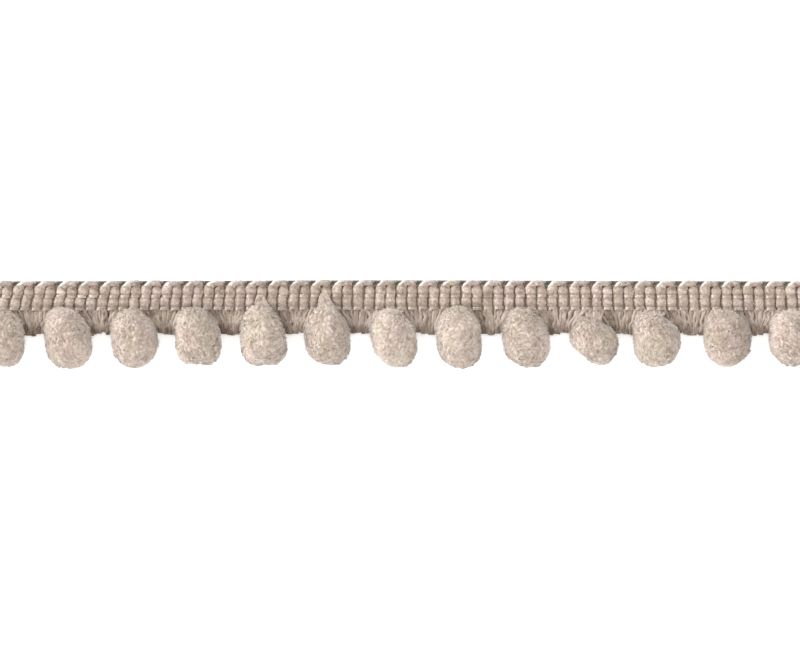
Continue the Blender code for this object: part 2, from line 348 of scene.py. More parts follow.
# Each pompom's middle, and how far it reaches from there on the widest line towards each of the
# OUTLINE_ANGLES, anticlockwise from the right. tone is how light its yarn is.
OUTLINE_ANGLES = (0, 60, 90, 120, 180, 240, 270, 300, 360)
Pompom = namedtuple(
    "Pompom", "x right high_right up high_left left low_left down low_right tone"
)
POMPOMS = [
    Pompom(-90.8, 4.9, 5.9, 6.3, 6.2, 5.0, 6.2, 6.5, 6.8, 0.50),
    Pompom(-75.3, 4.9, 5.3, 6.6, 7.2, 5.2, 6.7, 6.9, 7.0, 0.50),
    Pompom(-60.4, 5.2, 5.4, 6.4, 6.3, 4.8, 6.3, 6.9, 6.5, 0.52),
    Pompom(-45.7, 4.9, 5.5, 6.4, 7.0, 5.0, 6.4, 6.1, 6.5, 0.47),
    Pompom(-30.6, 4.8, 5.6, 7.6, 6.9, 5.1, 6.6, 6.1, 6.5, 0.50),
    Pompom(-16.0, 5.0, 5.6, 8.1, 6.6, 5.1, 5.8, 5.9, 6.3, 0.50),
    Pompom(-0.7, 4.9, 5.2, 6.4, 6.5, 5.0, 5.9, 6.5, 6.8, 0.55),
    Pompom(14.3, 4.8, 5.7, 6.9, 6.9, 4.9, 6.2, 6.7, 6.7, 0.55),
    Pompom(29.6, 5.1, 5.2, 6.2, 7.0, 5.1, 6.0, 6.5, 6.8, 0.50),
    Pompom(45.3, 4.9, 3.5, 4.3, 5.0, 5.5, 4.9, 5.8, 6.5, 0.50),
    Pompom(59.7, 4.9, 4.4, 5.5, 6.5, 5.2, 6.7, 6.6, 6.4, 0.52),
    Pompom(75.8, 5.1, 5.6, 5.9, 6.4, 5.2, 6.1, 6.6, 6.2, 0.40),
    Pompom(90.7, 5.0, 5.3, 6.0, 6.0, 5.1, 5.9, 6.6, 6.2, 0.50),
]

# Camera: it looks straight down from far off, and the trim's two ends are outside the picture.
FRAME_WIDTH = 184.0
VIEW_CENTRE = (0.69, -2.185)
LENS = 300.0
SENSOR = 36.0

# Yarn: how it is twisted, its soft surface, and the two dye lots that its colour wanders between
PLY_PITCH = 1.15
PLY_DEPTH = 0.17
FIBRE_RUN = 0.22  # the lower, the longer the streaks of its fibres are for their width
SOFT_SURFACE = {
    "Roughness": 0.95,
    "Specular IOR Level": 0.1,
    "Sheen Weight": 0.7,
    "Sheen Roughness": 0.6,
    "Sheen Tint": (1.0, 0.92, 0.86, 1.0),
}
BUMP_STRENGTH = 0.5
BUMP_DEPTH = 0.6  # as a share of the streaks' width
PATCH_SIZE = 2.5
DYE_SIZE = 6.0
DYE_EDGES = (0.35, 0.65)
DYE_LOTS = [(1.0, 0.98, 0.985), (0.985, 1.0, 0.955)]

# Light: broad soft sources low on the left, weak ones on the right and above, and an even white
# room. bearing is anticlockwise from the trim's right end, and height is above the floor.
Lamp = namedtuple("Lamp", "name bearing height spread strength")
LAMPS = [
    Lamp("left", 198.0, 15.0, 40.0, 2.6),
    Lamp("upper_left", 152.0, 13.0, 40.0, 2.4),
    Lamp("right", 346.0, 20.0, 50.0, 1.1),
    Lamp("above", 166.0, 75.0, 60.0, 0.3),
]
ROOM_STRENGTH = 1.12

# Floor: pale paper, with a faint glow that keeps it white
FLOOR_HALF = 3000.0
FLOOR_DROP = 0.02
FLOOR_COLOUR = (0.9, 0.9, 0.9, 1.0)
FLOOR_ROUGHNESS = 0.9
FLOOR_GLOW = 0.4
WHITE = (1.0, 1.0, 1.0, 1.0)


def smooth_random(rng, rows, knots, steps, size):
    """Rows of gently wandering numbers, each with as many steps."""
    loose = rng.normal(0.0, size, (rows, knots))
    at = np.linspace(0, knots - 1, steps)
    return np.stack([np.interp(at, np.arange(knots), row) for row in loose])


def bow(x):
    """How far the trim's slight bow has moved it up at x."""
    return BOW * np.cos(FULL_TURN * x / LENGTH)


def pulled(x):
    """Where what would be at x on an even trim really is."""
    return x + np.interp(x, *zip(*PULLED))


def lean(x):
    """How far right the ribs at x run for each step up."""
    from_left = (x + LENGTH / 2) / LEAN_FADE
    from_middle = x / (LENGTH / 2)
    return LEAN_LEFT * np.exp(-from_left * from_left) + LEAN_RIGHT * np.maximum(0.0, from_middle)


def unit(vectors):
    return vectors / np.maximum(np.linalg.norm(vectors, axis=-1, keepdims=True), 1e-9)


def run(paths):
    """How far each point of each path is along it."""
    step = np.linalg.norm(np.diff(paths, axis=1), axis=2)
    return np.concatenate([np.zeros((len(paths), 1)), np.cumsum(step, axis=1)], axis=1)


def resample(paths, count):
    """The paths again, each with its points spread evenly. paths is (paths, steps, 3)."""
    spread = []
    for path, along in zip(paths, run(paths)):
        at = np.linspace(0.0, along[-1], count)
        spread.append(np.stack([np.interp(at, along, path[:, i]) for i in range(3)], axis=1))
    return np.stack(spread)


def rounded(points, times=3):
    """A line with its corners cut off, again and again, until it is a smooth curve."""
    for _ in range(times):
        before, after = points[:-1], points[1:]
        cut = np.stack([0.75 * before + 0.25 * after, 0.25 * before + 0.75 * after], axis=1)
        points = np.concatenate([points[:1], cut.reshape(-1, points.shape[1]), points[-1:]])
    return points


# ---------------------------------------------------------------- meshes


def tube_faces(count, rings, sides):
    """The faces of so many tubes, each of whose points are its rings in turn and then its two tips."""
    size = rings * sides + 2
    i, j = np.meshgrid(np.arange(rings - 1), np.arange(sides), indexing="ij")
    a, b = i * sides + j, i * sides + (j + 1) % sides
    quads = np.stack([a, a + sides, b + sides, b], axis=-1).reshape(-1, 4)
    j = np.arange(sides)
    last = (rings - 1) * sides
    first_end = np.stack([j, (j + 1) % sides, np.full(sides, size - 2)], axis=1)
    last_end = np.stack([last + (j + 1) % sides, last + j, np.full(sides, size - 1)], axis=1)
    shift = (np.arange(count) * size)[:, None, None]
    quads = (quads[None] + shift).reshape(-1, 4)
    triangles = (np.concatenate([first_end, last_end])[None] + shift).reshape(-1, 3)
    return [quads, triangles]


def tubes(
    paths, radius, sides, rng, plies=2, pitch=PLY_PITCH, depth=PLY_DEPTH, height=None, peak=1.0
):
    """Closed tubes of twisted yarn with rounded ends. paths is (tubes, rings, 3), and radius fits
    (tubes, rings), as does height, which is for a yarn that isn't as high as it is wide. A peak
    below 1 makes the yarn's top flatter. Returns points, faces, each point's tube, and where it
    is among the yarn's fibres."""
    count, rings, _ = paths.shape
    radius = np.broadcast_to(radius, (count, rings))
    height = radius if height is None else np.broadcast_to(height, (count, rings))
    tangent = unit(np.gradient(paths, axis=1))
    aside = unit(np.cross(tangent, UP))
    above = np.cross(aside, tangent)
    angle = np.arange(sides) * FULL_TURN / sides
    along = run(paths)
    start = rng.uniform(0, FULL_TURN, (count, 1, 1))
    twist = angle + FULL_TURN * along[:, :, None] / pitch / plies + start
    lobes = 1 + depth * np.cos(plies * twist)
    upward = np.sign(np.sin(angle)) * np.abs(np.sin(angle)) ** peak
    ring = (
        paths[:, :, None, :]
        + (radius[:, :, None] * lobes * np.cos(angle))[..., None] * aside[:, :, None, :]
        + (height[:, :, None] * lobes * upward)[..., None] * above[:, :, None, :]
    )
    first_tip = paths[:, 0] - tangent[:, 0] * radius[:, :1] / 2
    last_tip = paths[:, -1] + tangent[:, -1] * radius[:, -1:] / 2
    tips = np.stack([first_tip, last_tip], axis=1)
    points = np.concatenate([ring.reshape(count, -1, 3), tips], axis=1)
    lengthwise = np.broadcast_to(along[:, :, None] * FIBRE_RUN, twist.shape)
    across = radius[:, :, None]
    fibre = np.stack([across * np.cos(twist), across * np.sin(twist), lengthwise], axis=-1)
    fibre = np.concatenate([fibre.reshape(count, -1, 3), np.zeros((count, 2, 3))], axis=1)
    fibre += rng.uniform(-50, 50, (count, 1, 3))
    owner = np.repeat(np.arange(count), rings * sides + 2)
    return points.reshape(-1, 3), tube_faces(count, rings, sides), owner, fibre.reshape(-1, 3)


def joined(*parts):
    """One list of points, of faces and of fibre places from several."""
    points = np.concatenate([part[0] for part in parts])
    start = np.cumsum([0] + [len(part[0]) for part in parts[:-1]])
    faces = [group + shift for part, shift in zip(parts, start) for group in part[1]]
    fibre = np.concatenate([part[-1] for part in parts])
    return points, faces, fibre


def make_piece(name, points, faces, fibre, tone, material, nodes, lie=None):
    """A mesh piece from points in millimetres. tone is how light each point's yarn is, 0 to 1, and
    fibre is where it is among its yarn's fibres. Each point's normal is turned towards its lie: not
    at all where lie has no length, and the whole way where it is 1 long."""
    mesh = bpy.data.meshes.new(name)
    listed = [face for group in faces for face in group.tolist()]
    mesh.from_pydata((points * MM).tolist(), [], listed)
    layer = mesh.attributes.new("tone", "FLOAT", "POINT")
    layer.data.foreach_set("value", np.clip(tone, 0.0, 1.0).astype(np.float32))
    layer = mesh.attributes.new("fibre", "FLOAT_VECTOR", "POINT")
    layer.data.foreach_set("vector", fibre.astype(np.float32).ravel())
    mesh.materials.append(material)
    mesh.shade_smooth()
    mesh.update()
    if lie is not None:
        own = np.empty(3 * len(points), np.float32)
        mesh.vertices.foreach_get("normal", own)
        share = np.linalg.norm(lie, axis=1, keepdims=True)
        mesh.normals_split_custom_set_from_vertices(unit(own.reshape(-1, 3) * (1 - share) + lie))
    piece = bpy.data.objects.new(name, mesh)
    bpy.context.scene.collection.objects.link(piece)
    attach(piece, "root")
    if nodes:
        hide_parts(*nodes)
    return piece


# ---------------------------------------------------------------- materials


def yarn_material(name, shades, fibre_width, streaks=1.0, flecks=0.5, fleck_size=0.5, patches=0.4):
    """Soft spun yarn. shades runs from its dark hollows to its light fibres, and fibre_width is how
    wide the streaks of its fibres are. streaks run along the yarn, flecks have no direction, and
    patches are large and soft."""
    material = bpy.data.materials.new(name)
    material.use_nodes = True
    tree = material.node_tree
    shader = tree.nodes["Principled BSDF"]
    for surface, value in SOFT_SURFACE.items():
        shader.inputs[surface].default_value = value
    place = tree.nodes.new("ShaderNodeTexCoord").outputs["Object"]
    fibre = tree.nodes.new("ShaderNodeAttribute")
    fibre.attribute_name = "fibre"
    tone = tree.nodes.new("ShaderNodeAttribute")
    tone.attribute_name = "tone"

    def noise(where, scale, detail):
        node = tree.nodes.new("ShaderNodeTexNoise")
        node.inputs["Scale"].default_value = scale
        node.inputs["Detail"].default_value = detail
        tree.links.new(where, node.inputs["Vector"])
        return node.outputs["Fac"]

    def maths(operation, one, other):
        node = tree.nodes.new("ShaderNodeMath")
        node.operation = operation
        for socket, value in zip(node.inputs, (one, other)):
            if isinstance(value, (int, float)):
                socket.default_value = value
            else:
                tree.links.new(value, socket)
        return node.outputs["Value"]

    def shift(fac, size):
        return maths("MULTIPLY", maths("SUBTRACT", fac, 0.5), size)

    streak = shift(noise(fibre.outputs["Vector"], 1 / fibre_width, 1.0), streaks)
    fleck = shift(noise(place, 1 / (fleck_size * MM), 1.5), flecks)
    grain = maths("ADD", streak, fleck)
    shade = maths("ADD", tone.outputs["Fac"], grain)
    shade = maths("ADD", shade, shift(noise(place, 1 / (PATCH_SIZE * MM), 1.0), patches))
    ramp = tree.nodes.new("ShaderNodeValToRGB")
    ramp.color_ramp.elements[0].color = (*shades[0], 1.0)
    ramp.color_ramp.elements[1].color = (*shades[-1], 1.0)
    for i, colour in enumerate(shades[1:-1], start=1):
        stop = ramp.color_ramp.elements.new(i / (len(shades) - 1))
        stop.color = (*colour, 1.0)
    tree.links.new(shade, ramp.inputs["Fac"])
    dye = tree.nodes.new("ShaderNodeValToRGB")
    for element, position, colour in zip(dye.color_ramp.elements, DYE_EDGES, DYE_LOTS):
        element.position = position
        element.color = (*colour, 1.0)
    tree.links.new(noise(place, 1 / (DYE_SIZE * MM), 0.0), dye.inputs["Fac"])
    dyed = tree.nodes.new("ShaderNodeMix")
    dyed.data_type = "RGBA"
    dyed.blend_type = "MULTIPLY"
    dyed.inputs["Factor"].default_value = 1.0
    tree.links.new(ramp.outputs["Color"], dyed.inputs["A"])
    tree.links.new(dye.outputs["Color"], dyed.inputs["B"])
    tree.links.new(dyed.outputs["Result"], shader.inputs["Base Color"])
    bump = tree.nodes.new("ShaderNodeBump")
    bump.inputs["Strength"].default_value = BUMP_STRENGTH
    bump.inputs["Distance"].default_value = fibre_width * MM * BUMP_DEPTH
    tree.links.new(grain, bump.inputs["Height"])
    tree.links.new(bump.outputs["Normal"], shader.inputs["Normal"])
    return material


# ---------------------------------------------------------------- heading


def near(y, middle, size):
    """A soft hump: 1 at the middle, about a third at size from it, and almost nothing at twice that."""
    return np.exp(-(((y - middle) / size) ** 2))


def banded(y, bands):
    """The sum of the Bands at y."""
    return sum(band.amount * near(y, band.middle, band.reach) for band in bands)


def sloped(y, slopes):
    """The sum of the Slopes at y."""
    return sum(slope.amount * np.clip((y - slope.start) / slope.length, 0, 1) for slope in slopes)


def waist(y):
    """1 on a stitch row and 0 between them, with steep sides."""
    return sum(np.exp(-((np.abs(y - row) / WAIST_REACH) ** WAIST_STEEPNESS)) for row in WAISTS)


def pillow(y):
    """1 in the middle of each fuller length of rib, fading towards the stitches."""
    return sum(near(y, middle, PILLOW_REACH) for middle in PILLOWS)


def per_point(values, sides):
    """A value for each point of tubes, from one for each of their rings."""
    around = np.repeat(values, sides, axis=1)
    return np.concatenate([around, values[:, :1], values[:, -1:]], axis=1).ravel()


def lean_and_bow(paths):
    """Moves the paths' points, in place, as the trim's lean and bow have moved its yarns."""
    x, y = paths[..., 0].copy(), paths[..., 1].copy()
    paths[..., 0] += lean(x) * (y - LEAN_MIDDLE)
    paths[..., 1] += bow(x)


def turn_middles(rng):
    """Where the middle of each turn of the heading's yarn is, not quite evenly."""
    middles = pulled(-LENGTH / 2 + (np.arange(TURN_COUNT) + 0.5) * TURN_PITCH)
    return middles + rng.normal(0, TURN_SHAKE, TURN_COUNT)


def rib_middles():
    """Where each of the ribs is, two to a turn."""
    return pulled(-LENGTH / 2 + (np.arange(2 * TURN_COUNT) + 0.5) * RIB_PITCH)


def lumps(points, size, rng):
    """A smooth field over space that swings between about -1 and 1 over the given size."""
    total = np.zeros(len(points))
    for _ in range(LUMP_WAVES):
        wave = unit(rng.normal(0, 1, 3)) * FULL_TURN / size * rng.uniform(0.6, 1.3)
        total += np.sin(points @ wave + rng.uniform(0, FULL_TURN))
    return total / math.sqrt(LUMP_WAVES)


def rib_line():
    """The middle line of a turn's yarn: up the left rib, round the turn and down the right rib."""
    rise = np.linspace(RIB_FOOT, TURN_START, RIB_STEPS)[:-1]
    half = np.full(len(rise), RIB_PITCH / 2)
    left = np.stack([-half, rise], axis=1)
    right = np.stack([half, rise], axis=1)[::-1]
    flat = np.concatenate([left, rounded(np.array(TURN)), right])
    return resample(np.column_stack([flat, np.zeros(len(flat))])[None], RIB_RINGS)[0]


def rib_shape(line):
    """For each point of a turn's middle line: the yarn's half width, how high its top is, how far it
    is drawn to the left, and how much darker it is as painted shade, less the painted light on the
    pillows."""
    y = line[:, 1]
    right_leg = np.clip(line[:, 0], 0, 1)
    turned = sloped(y, [TURNING])
    turned = turned * turned * (3 - 2 * turned)
    shoulder = right_leg * banded(y, [SHOULDER])
    drawn_in = sloped(y, [RIB_DRAWN_IN]) + right_leg * sloped(y, [RIGHT_DRAWN_IN])
    width = RIB_HALF_WIDTH - (RIB_HALF_WIDTH - WAIST_HALF_WIDTH) * waist(y)
    width += PILLOW_WIDER * pillow(y) - banded(y, [THROAT])
    width -= (RIB_HALF_WIDTH - TURN_HALF_WIDTH) * turned + SHOULDER_NARROWER * shoulder + drawn_in
    top = RIB_TOP - (RIB_TOP - WAIST_TOP) * waist(y) + PILLOW_HIGHER * pillow(y)
    top -= (RIB_TOP - TURN_TOP) * turned + SHOULDER_LOWER * shoulder
    # painted shade in the creases and on the right rib's shoulder, less painted light on the pillows
    darker = banded(y, CREASE_PAINTED_SHADE) + right_leg * banded(y, RIGHT_CREASE_PAINTED_SHADE) - PILLOW_PAINTED_LIGHT * pillow(y)
    return width, top, drawn_in, darker


def make_ribs(material):
    """The heading's soft yarns. Each one makes two ribs, which the stitches draw in."""
    rng = np.random.default_rng(11)
    line = rib_line()
    width, top, drawn_in, darker = rib_shape(line)
    paths = np.repeat(line[None], TURN_COUNT, axis=0)
    paths[..., 0] += turn_middles(rng)[:, None] - drawn_in
    top = top + smooth_random(rng, TURN_COUNT, 12, RIB_RINGS, RIB_UNEVEN)
    width = width + smooth_random(rng, TURN_COUNT, 16, RIB_RINGS, RIB_UNEVEN)
    paths[..., 2] = (top + RIB_UNDERSIDE) / 2
    paths[..., 0] += smooth_random(rng, TURN_COUNT, 14, RIB_RINGS, RIB_WANDER)
    lean_and_bow(paths)
    points, faces, owner, fibre = tubes(
        paths,
        width,
        RIB_SIDES,
        rng,
        plies=RIB_PLIES,
        pitch=RIB_PLY_PITCH,
        depth=RIB_PLY_DEPTH,
        height=(top - RIB_UNDERSIDE) / 2,
        peak=RIB_PEAK,
    )
    uneven = lumps(points, RIB_LUMP_SIZE, rng)
    points[:, 2] += RIB_LUMPS * uneven
    points[:, 0] += RIB_LUMPS * lumps(points, RIB_LUMP_SIZE, rng)
    y, z = points[:, 1], points[:, 2]
    # painted shade in the waists, low down and towards the top edge
    waist_painted_shade = np.where(y > np.mean(WAISTS), UPPER_WAIST_PAINTED_SHADE, LOWER_WAIST_PAINTED_SHADE)
    # painted light on the lumps that stand higher
    tone = rng.normal(RIB_TONE, TURN_UNEVEN, TURN_COUNT)[owner] + LUMP_PAINTED_LIGHT * uneven
    tone -= waist_painted_shade * waist(y) + sloped(z, [FLANK_PAINTED_SHADE]) + sloped(y, [RIB_EDGE_PAINTED_SHADE])
    mottled = smooth_random(rng, TURN_COUNT, 24, RIB_RINGS, RIB_MOTTLE)
    tone += per_point(mottled - darker, RIB_SIDES)
    return make_piece(
        "heading_ribs", points, faces, fibre, tone, material, ["heading"]
    )


def make_edge_thread(material):
    """A pale thread over the shoulder of each turn and along the top edge."""
    rng = np.random.default_rng(13)
    paths = np.repeat(rounded(np.array(EDGE))[None], TURN_COUNT, axis=0)
    paths[..., 0] += turn_middles(np.random.default_rng(11))[:, None]
    paths = resample(paths, EDGE_RINGS)
    paths += rng.normal(0, EDGE_SHAKE, (TURN_COUNT, 1, 3))
    along = np.linspace(0, 1, EDGE_RINGS)
    # painted highlight on the slant, painted shade towards the end
    tone = EDGE_TONE + banded(along, [EDGE_PAINTED_HIGHLIGHT]) - sloped(along, [EDGE_END_PAINTED_SHADE])
    tone = tone + rng.normal(0, EDGE_UNEVEN, (TURN_COUNT, 1))
    lean_and_bow(paths)
    points, faces, _, fibre = tubes(paths, EDGE_RADIUS, EDGE_SIDES, rng, height=EDGE_HEIGHT)
    tone = per_point(tone, EDGE_SIDES)
    return make_piece(
        "heading_edge_thread", points, faces, fibre, tone, material, []
    )


def make_stitches(material):
    """Each stitch is a narrow loop over one rib, with its round head on the rib's left flank."""
    rng = np.random.default_rng(12)
    along = np.linspace(-1, 1, STITCH_RINGS)
    x = STITCH_REACH * (1 - 2 * np.sqrt(1 - np.abs(along) ** STITCH_CROWDING))
    share = (x + STITCH_REACH) / (2 * STITCH_REACH)
    half = STITCH_HEAD + (STITCH_TAIL - STITCH_HEAD) * share
    side = np.sign(along) * np.minimum(1, np.abs(along) * STITCH_BLUNTNESS) * half
    rise = np.interp(share, *zip(*STITCH_RISE))
    paths, tone = [], []
    for row in STITCH_ROWS:
        for rib in rib_middles():
            middle = rib + rng.normal(0, STITCH_SHAKE)
            y = row + side + rng.normal(0, STITCH_UNEVEN)
            z = rise + rng.normal(0, STITCH_UNEVEN)
            paths.append(np.column_stack([x + middle, y, z]))
            # painted highlight on the head and on the tail
            lighter = rng.uniform(*BEAD_PAINTED_HIGHLIGHT) * banded(share, [BEAD]) + banded(share, [TAIL_PAINTED_LIGHT])
            tone.append(STITCH_TONE + rng.normal(0, STITCH_UNEVEN) + lighter)
    paths = np.stack(paths)
    lean_and_bow(paths)
    points, faces, _, fibre = tubes(
        paths, STITCH_RADIUS, STITCH_SIDES, rng, pitch=STITCH_PLY_PITCH, depth=STITCH_PLY_DEPTH
    )
    # painted light and shade by height
    tone = per_point(np.array(tone), STITCH_SIDES) + (points[:, 2] - STITCH_HEIGHT) * HEIGHT_PAINTED_SHADING
    return make_piece(
        "heading_stitches", points, faces, fibre, tone, material, []
    )


def make_ground(material):
    """The knitted back: a thin slab, softly ribbed along its length where it shows between ribs. Its
    dark yarn, and its darker bands under the turns and low down, are painted shade for the gaps.
    """
    columns, rows = 2 * TURN_COUNT + 1, GROUND_ROWS
    up, thickness = zip(*GROUND)
    x = np.linspace(-LENGTH / 2, LENGTH / 2, columns)
    y = np.linspace(up[0], up[-1], rows)
    grid_x, grid_y = np.meshgrid(x, y, indexing="ij")
    face = np.interp(grid_y, up, thickness) + GROUND_STITCHED * waist(grid_y)
    rim = np.maximum(0, 1 - np.minimum(np.arange(rows), np.arange(rows)[::-1]) / 2)
    lean_x = grid_x + lean(grid_x) * (grid_y - LEAN_MIDDLE)
    grid_y = grid_y + bow(grid_x)
    top = np.stack([lean_x, grid_y, face], axis=-1)
    underside = np.broadcast_to(GROUND_CLEARANCE + GROUND_RIM_LIFT * rim, face.shape)
    bottom = np.stack([lean_x, grid_y, underside], axis=-1)
    points = np.concatenate([top.reshape(-1, 3), bottom.reshape(-1, 3)])
    index = np.arange(columns * rows).reshape(columns, rows)
    under = index + columns * rows

    def strip(a, b, c, d):
        return np.stack([a.ravel(), b.ravel(), c.ravel(), d.ravel()], axis=1)

    quads = [
        strip(index[:-1, :-1], index[1:, :-1], index[1:, 1:], index[:-1, 1:]),
        strip(under[:-1, :-1], under[:-1, 1:], under[1:, 1:], under[1:, :-1]),
        strip(index[:-1, 0], under[:-1, 0], under[1:, 0], index[1:, 0]),
        strip(index[:-1, -1], index[1:, -1], under[1:, -1], under[:-1, -1]),
        strip(index[0, :-1], index[0, 1:], under[0, 1:], under[0, :-1]),
        strip(index[-1, :-1], under[-1, :-1], under[-1, 1:], index[-1, 1:]),
    ]
    y = points[:, 1]
    # painted shade under the turns, at the top edge and low down
    tone = GROUND_TONE + GROUND_WAIST_LIGHTER * waist(y) - sloped(y, GROUND_PAINTED_SHADE)
    return make_piece(
        "heading_ground", points, quads, points, tone, material, []
    )


# ---------------------------------------------------------------- skirt


def skirt_foot_x(root_x):
    """Where a strand's foot lies: the pompoms push the strands between them together, and the few
    behind a pompom's neck fan out."""
    middles = np.array([p.x for p in POMPOMS])
    left_ends = np.concatenate([[-LENGTH / 2 - NECK_HALF - END_MARGIN], middles])
    right_ends = np.concatenate([middles, [LENGTH / 2 + NECK_HALF + END_MARGIN]])
    which = np.searchsorted(middles, root_x)
    left, right = left_ends[which], right_ends[which]
    clear_left = np.where(which == 0, NECK_HALF, FOOT_CLEARANCE)
    clear_right = np.where(which == len(middles), NECK_HALF, FOOT_CLEARANCE)
    roots = np.stack([left, left + NECK_HALF, right - NECK_HALF, right])
    feet = np.stack([left, left + clear_left, right - clear_right, right])
    return np.array([np.interp(x, *ends) for x, *ends in zip(root_x, roots.T, feet.T)])


def hairpin(layer, rib, pair, rng):
    """The middle line of one of the skirt's hairpins, down one leg and up the other, and how light
    it is. It is the first or the second pair of strands from its rib."""
    spacing = RIB_PITCH / len(SKIRT_PLACES)
    middles = np.array([p.x for p in POMPOMS])
    roots = rib + (np.array(SKIRT_PLACES[2 * pair : 2 * pair + 2]) + layer.shift * spacing)
    even = rib + (2 * pair + np.array((0, 1)) - 1.5 + layer.shift) * spacing
    behind = np.abs(even - middles[:, None]).min() < NECK_HALF
    down = np.linspace(0, NECK_SHARE if behind else 1, SKIRT_RINGS)
    bend = (1 - EARLY_SHARE) * down + EARLY_SHARE * np.minimum(1, down / EARLY_END)
    wave = FOOT_WAVE * math.sin(rib * FOOT_WAVE_RATE)
    foot_y = SKIRT_FOOT + wave + rng.normal(0, FOOT_SHAKE)
    feet = skirt_foot_x(even)
    from_pompoms = feet.mean() - middles
    proud = near(from_pompoms, PROUD.middle, PROUD.reach).sum()
    deep = near(from_pompoms, DEEP.middle, DEEP.reach).sum()
    lift = rng.normal(0, LIFT_UNEVEN) + PROUD.amount * proud - DEEP.amount * deep
    legs = []
    for root, foot in zip(roots, feet):
        x = root + (foot + rng.normal(0, FOOT_STRAY) - root) * bend
        y = SKIRT_ROOT + (foot_y - SKIRT_ROOT) * down
        z = layer.root_z + (layer.foot_z - layer.root_z) * down**0.8
        legs.append(np.column_stack([x, y, z + lift * np.sin(math.pi * down)]))
    # painted light on strands left of a pompom, painted shadow on those right of it
    lighter = PROUD_PAINTED_LIGHT * proud - DEEP_PAINTED_SHADOW * deep
    tone = layer.tone + lighter + rng.normal(0, HAIRPIN_UNEVEN)
    return np.concatenate([legs[0], legs[1][::-1]]), tone


def neck_yarn(p, aside, height, places):
    """A length of one yarn in a pompom's neck. aside is -1 at the neck's left side and 1 at its
    right, and the places are measured up from the height."""
    return [(p.x - g.left + aside * g.spread, height + g.above, g.z) for g in places]


def neck_lines():
    """The middle lines of the yarns that are gathered into the pompoms' necks."""
    necks = []
    for p in POMPOMS:
        peak = WIDEST_Y + p.up
        for aside in np.linspace(-1, 1, NECK_YARNS):
            if peak > TALL:
                line = neck_yarn(p, aside, peak, TALL_NECK)
            else:
                line = neck_yarn(p, aside, SKIRT_ROOT, NECK_START)
                line += neck_yarn(p, aside, min(peak, NECK_TOP), NECK_END)
            necks.append(rounded(np.array(line)))
    return resample(np.stack(necks), SKIRT_RINGS)


def make_skirt(material):
    """Hairpins of yarn in two layers. Their roots crowd together under each rib, and their feet are
    even. The upper layer's hairpins lie over the gaps of the lower one."""
    rng = np.random.default_rng(21)
    rings = 2 * SKIRT_RINGS
    hairpins = [
        hairpin(layer, rib, pair, rng) for layer in LAYERS for rib in rib_middles() for pair in (0, 1)
    ]
    paths, tone = (np.array(listed) for listed in zip(*hairpins))
    paths = resample(paths, rings)
    paths[..., 0] += smooth_random(rng, len(paths), 14, rings, SKIRT_WANDER)
    paths[..., 2] += smooth_random(rng, len(paths), 12, rings, SKIRT_RIPPLE)
    paths[..., 1] += bow(paths[..., 0])
    paths[..., 2] = np.maximum(paths[..., 2], SKIRT_YARN_RADIUS)
    radius = SKIRT_YARN_RADIUS * (1 + smooth_random(rng, len(paths), 16, rings, SKIRT_UNEVEN))
    twist = {"pitch": SKIRT_PLY_PITCH, "depth": SKIRT_PLY_DEPTH}
    strands = tubes(paths, radius, SKIRT_SIDES, rng, **twist)
    neck_rng = np.random.default_rng(22)
    necks = neck_lines()
    necks[..., 2] += smooth_random(neck_rng, len(necks), 6, SKIRT_RINGS, NECK_WANDER)
    neck_tone = neck_rng.normal(NECK_TONE, NECK_UNEVEN, (len(necks), 1))
    neck_tone = neck_tone + smooth_random(neck_rng, len(necks), 9, SKIRT_RINGS, NECK_MOTTLE)
    twist["depth"] = NECK_PLY_DEPTH
    gathered = tubes(necks, NECK_RADIUS, SKIRT_SIDES, rng, **twist)
    points, faces, fibre = joined(strands, gathered)
    points[:, 2] = np.maximum(points[:, 2], 0.0)
    tone = tone[:, None] + smooth_random(rng, len(paths), 14, rings, SKIRT_MOTTLE)
    tone = np.concatenate([per_point(line, SKIRT_SIDES) for line in (tone, neck_tone)])
    # painted shade towards the feet and under the lower stitches
    tone -= sloped(points[:, 1], SKIRT_PAINTED_SHADE)
    return make_piece(
        "skirt_loops", points, faces, fibre, tone, material, ["skirt"]
    )


# ---------------------------------------------------------------- pompoms


def reach(p, angle):
    """How far a pompom's outline is from its middle at an angle, on a smooth curve."""
    known = np.array(p[1:9])
    place = np.interp(np.degrees(angle) % 360, OUTLINE_ANGLES, range(len(OUTLINE_ANGLES)))
    i = np.floor(place).astype(int)
    t = place - i
    before, here, after, beyond = (known[(i + step) % len(known)] for step in (-1, 0, 1, 2))
    bend = (before - here) * (1 - t) + (beyond - after) * t
    return here + (after - here) * t - t * (1 - t) * (bend + (after - here) * (1 - 2 * t)) / 2


def bulges(directions, p):
    """How far uneven trimming has left a pompom's surface proud or hollow."""
    rng = np.random.default_rng(round(1000 + 10 * p.x))
    total = np.zeros(len(directions))
    for _ in range(BULGE_WAVES):
        total += np.sin(directions @ rng.normal(0, SWEEP, 3) + rng.uniform(0, FULL_TURN))
    return BULGE * total / (BULGE_WAVES / 2)


def pompom_surface(u, v, w, p):
    """The smooth surface of a pompom in the directions (u, v, w), before its yarn is raised."""
    ring = np.sqrt(np.maximum(1e-9, u * u + v * v))
    full = reach(p, np.arctan2(v, u)) * ring**POMPOM_FULLNESS
    x = p.x + full * u / ring
    y = WIDEST_Y + full * v / ring
    thinner = np.where((v > 0) & (w < 0), 1 - UNDERCUT * v * v, 1.0)
    z = DEPTH / 2 * (1 + w * thinner) - FLAT_SPOT
    directions = np.stack([u, v, w], axis=1)
    return np.stack([x, y, z], axis=1) + directions * bulges(directions, p)[:, None]


